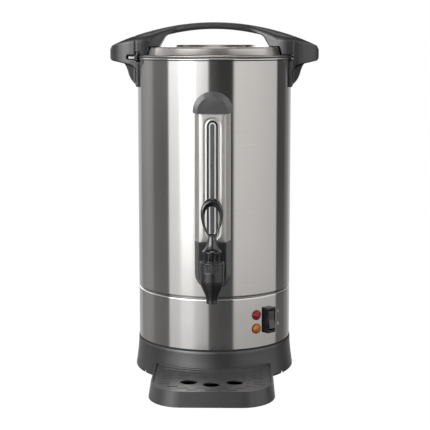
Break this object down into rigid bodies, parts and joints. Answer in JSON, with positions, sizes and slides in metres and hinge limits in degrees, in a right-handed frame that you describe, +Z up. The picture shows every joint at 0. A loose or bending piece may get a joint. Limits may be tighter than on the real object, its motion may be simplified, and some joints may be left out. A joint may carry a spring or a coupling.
{
  "type": "coffee urn",
  "caption": "Steel percolator urn with sight gauge, lever tap, twist-on lid with an arched handle, side handles, rocker switch, two lamps and a pull-out drip tray.",
  "frame": {"origin": "on the axis of the round body, at the level of the counter that the feet stand on", "axes": "+Z up along the body's axis, the tap and gauge face -Y, the side handles lie along X, right-hand handle towards +X"},
  "size_m": [0.299, 0.3417, 0.5012],
  "materials": {
    "brushed_body": "vertical-gloss, fine horizontal brushing",
    "brushed_lid": "fine circular brushing",
    "satin_cover": "satin",
    "polished_steel": "polished",
    "zinc_steel": "zinc plated",
    "cast_heater": "as cast",
    "mica": "pressed sheet",
    "phenolic": "moulded",
    "ivory_plastic": "moulded",
    "grey_plastic": "fine moulded texture",
    "tray_plastic": "fine moulded texture",
    "handle_plastic": "fine moulded texture",
    "black_plastic": "satin moulded",
    "black_gloss": "gloss moulded",
    "black_rubber": "matte",
    "silicone": "translucent",
    "red_silicone": "matte",
    "brass_pins": "bright",
    "red_lens": "clear tinted",
    "amber_lens": "clear tinted",
    "clear_glass": "clear",
    "clear_window": "clear"
  },
  "bodies": {
    "root": {"base_ring": "grey_plastic", "base_plate": "zinc_steel", "rubber_feet": "black_rubber", "base_screws": "zinc_steel", "tie_rods": "zinc_steel", "tie_nuts": "zinc_steel", "skirt": "brushed_body", "water_tank": "brushed_body", "main_heater": "cast_heater", "warming_ring": "mica", "heater_clamp": "zinc_steel", "heater_nuts": "zinc_steel", "boil_thermostat": "phenolic", "safety_cutout": "phenolic", "thermostat_nuts": "zinc_steel", "terminal_block": "ivory_plastic", "power_inlet": "black_plastic", "inlet_pins": "brass_pins", "inlet_screws": "zinc_steel", "switch_frame": "black_plastic", "boil_lamp_lens": "red_lens", "ready_lamp_lens": "amber_lens", "lamp_bodies": "ivory_plastic", "tap_shank": "polished_steel", "shank_washer": "silicone", "shank_nut": "polished_steel", "tap_barrel": "black_plastic", "tap_bonnet": "black_plastic", "tap_spring": "polished_steel", "gauge_tube": "clear_glass", "gauge_grommets": "silicone", "gauge_cover": "satin_cover", "gauge_bezel": "black_gloss", "gauge_window": "clear_window", "gauge_cap": "grey_plastic", "cap_nut": "polished_steel", "gauge_housing": "black_plastic", "left_side_handle": "handle_plastic", "right_side_handle": "handle_plastic", "handle_plates": "polished_steel", "handle_screws": "polished_steel", "filter_basket": "polished_steel", "basket_cover": "polished_steel", "pump_tube": "polished_steel", "pump_valve": "polished_steel"},
    "tap_stem": {"tap_stem": "polished_steel", "seat_cup": "red_silicone", "lever_pin": "polished_steel"},
    "tap_lever": {"tap_lever": "black_gloss"},
    "rocker": {"switch_rocker": "black_gloss"},
    "lid_seal": {"lid_seal": "silicone"},
    "lid": {"lid": "brushed_lid", "lid_handle": "handle_plastic", "lid_screws": "polished_steel"},
    "drip_tray": {"drip_tray": "tray_plastic"},
    "drip_grid": {"drip_grid": "tray_plastic"}
  },
  "joints": [
    {"name": "tap_lever", "type": "hinge", "parent": "tap_stem", "child": "tap_lever", "pos_m": [0, -0.158, 0.1989], "axis": [1, 0, 0], "range_deg": [0, 25], "stiffness_Nm_per_rad": 0.6, "springref_deg": -8.59},
    {"name": "tap_lift", "type": "slide", "parent": "root", "child": "tap_stem", "axis": [0, 0, 1], "range_m": [0, 0.005], "deforming": ["tap_spring"]},
    {"name": "rocker_tilt", "type": "hinge", "parent": "root", "child": "rocker", "pos_m": [0.0792, -0.07948, 0.0852], "axis": [0.7083, 0.7059, 0], "range_deg": [0, 16]},
    {"name": "lid_lift", "type": "slide", "parent": "root", "child": "lid_seal", "axis": [0, 0, 1], "range_m": [0, 0.08]},
    {"name": "lid_twist", "type": "hinge", "parent": "lid_seal", "child": "lid", "pos_m": [0, 0, 0.4555], "axis": [0, 0, 1], "range_deg": [-12, 0]},
    {"name": "tray_slide", "type": "slide", "parent": "root", "child": "drip_tray", "axis": [0, -1, 0], "range_m": [0, 0.06]},
    {"name": "grid_lift", "type": "slide", "parent": "drip_tray", "child": "drip_grid", "axis": [0, 0, 1], "range_m": [0, 0.04]}
  ],
  "couplings": [
    {"joint": "tap_lift", "follows": "tap_lever", "m_per_rad": 0.01145}
  ]
}
